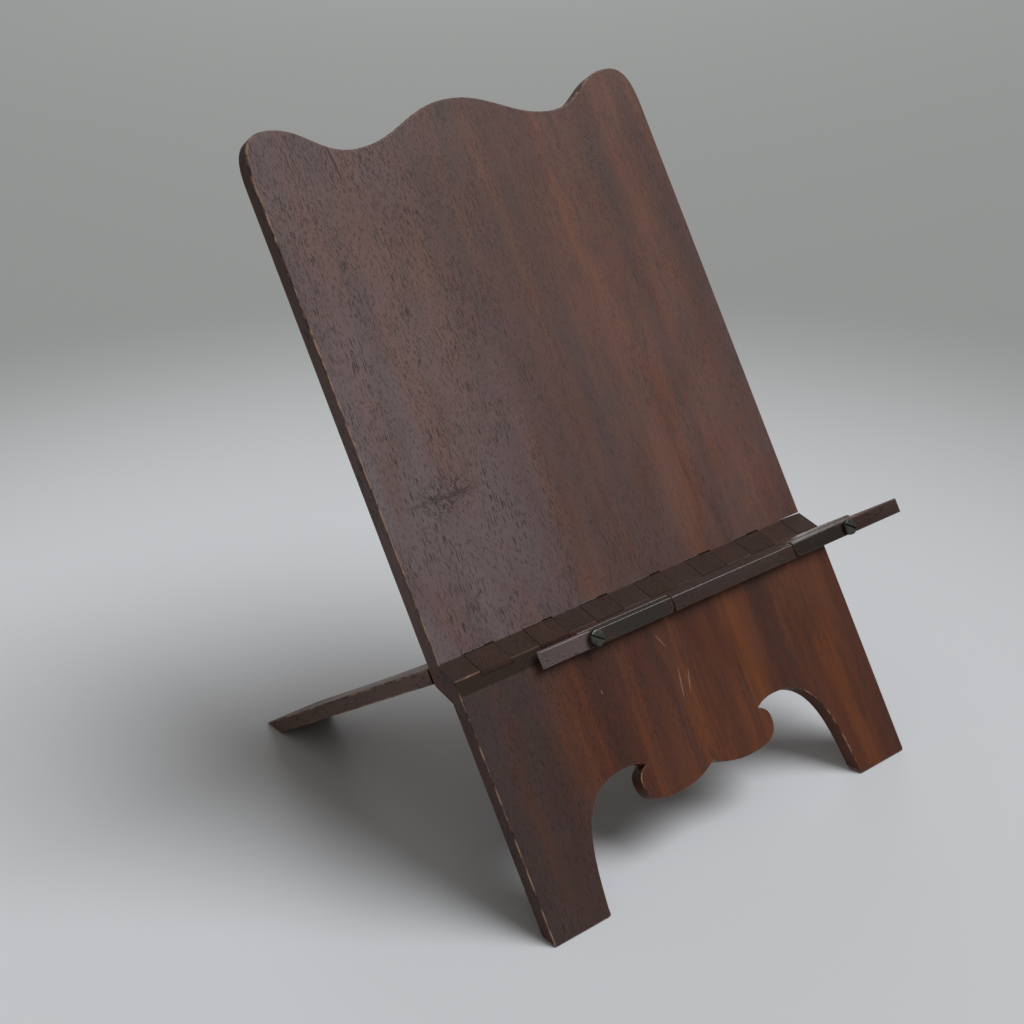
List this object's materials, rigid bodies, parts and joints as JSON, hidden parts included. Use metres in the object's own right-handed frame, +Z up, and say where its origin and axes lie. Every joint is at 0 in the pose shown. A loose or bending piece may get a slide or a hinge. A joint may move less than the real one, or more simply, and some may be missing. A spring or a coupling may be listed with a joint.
{
  "type": "book display stand",
  "caption": "Folding wooden book display stand: leaning panel with a serpentine top, ledge over an interlocking wooden hinge, scroll-cut legs and a lip with turning page holders.",
  "frame": {"origin": "middle of the footprint of the open stand, on the table", "axes": "+Z up, the front of the stand faces -Y, +X to the right along the ledge"},
  "size_m": [0.2506, 0.2144, 0.2817],
  "materials": {
    "mahogany": "old french-polished mahogany, worn satin",
    "mahogany_trim": "old polished mahogany, worn satin",
    "screw_steel": "aged slotted steel screw"
  },
  "bodies": {
    "stand": {"front_leaf": "mahogany", "guide_screw_left": "screw_steel", "guide_screw_right": "screw_steel"},
    "rear_flap": {"rear_leg": "mahogany"},
    "rail": {"lip_rail": "mahogany_trim", "pivot_screw_left": "screw_steel", "pivot_screw_right": "screw_steel"},
    "holder_left": {"page_holder_left": "mahogany_trim"},
    "holder_right": {"page_holder_right": "mahogany_trim"}
  },
  "joints": [
    {"name": "rear_leg_fold", "type": "hinge", "parent": "stand", "child": "rear_flap", "pos_m": [-0.0238, -0.04421, 0.08797], "axis": [-1, 0, 0], "range_deg": [0, 88.65]},
    {"name": "rail_slide", "type": "slide", "parent": "stand", "child": "rail", "axis": [1, 0, 0], "range_m": [-0.0424, 0]},
    {"name": "holder_left_turn", "type": "hinge", "parent": "rail", "child": "holder_left", "pos_m": [-0.0606, -0.05855, 0.08982], "axis": [0, -0.8536, 0.521], "range_deg": [0, 90]},
    {"name": "holder_right_turn", "type": "hinge", "parent": "rail", "child": "holder_right", "pos_m": [0.0903, -0.05855, 0.08982], "axis": [0, 0.8536, -0.521], "range_deg": [0, 90]}
  ]
}
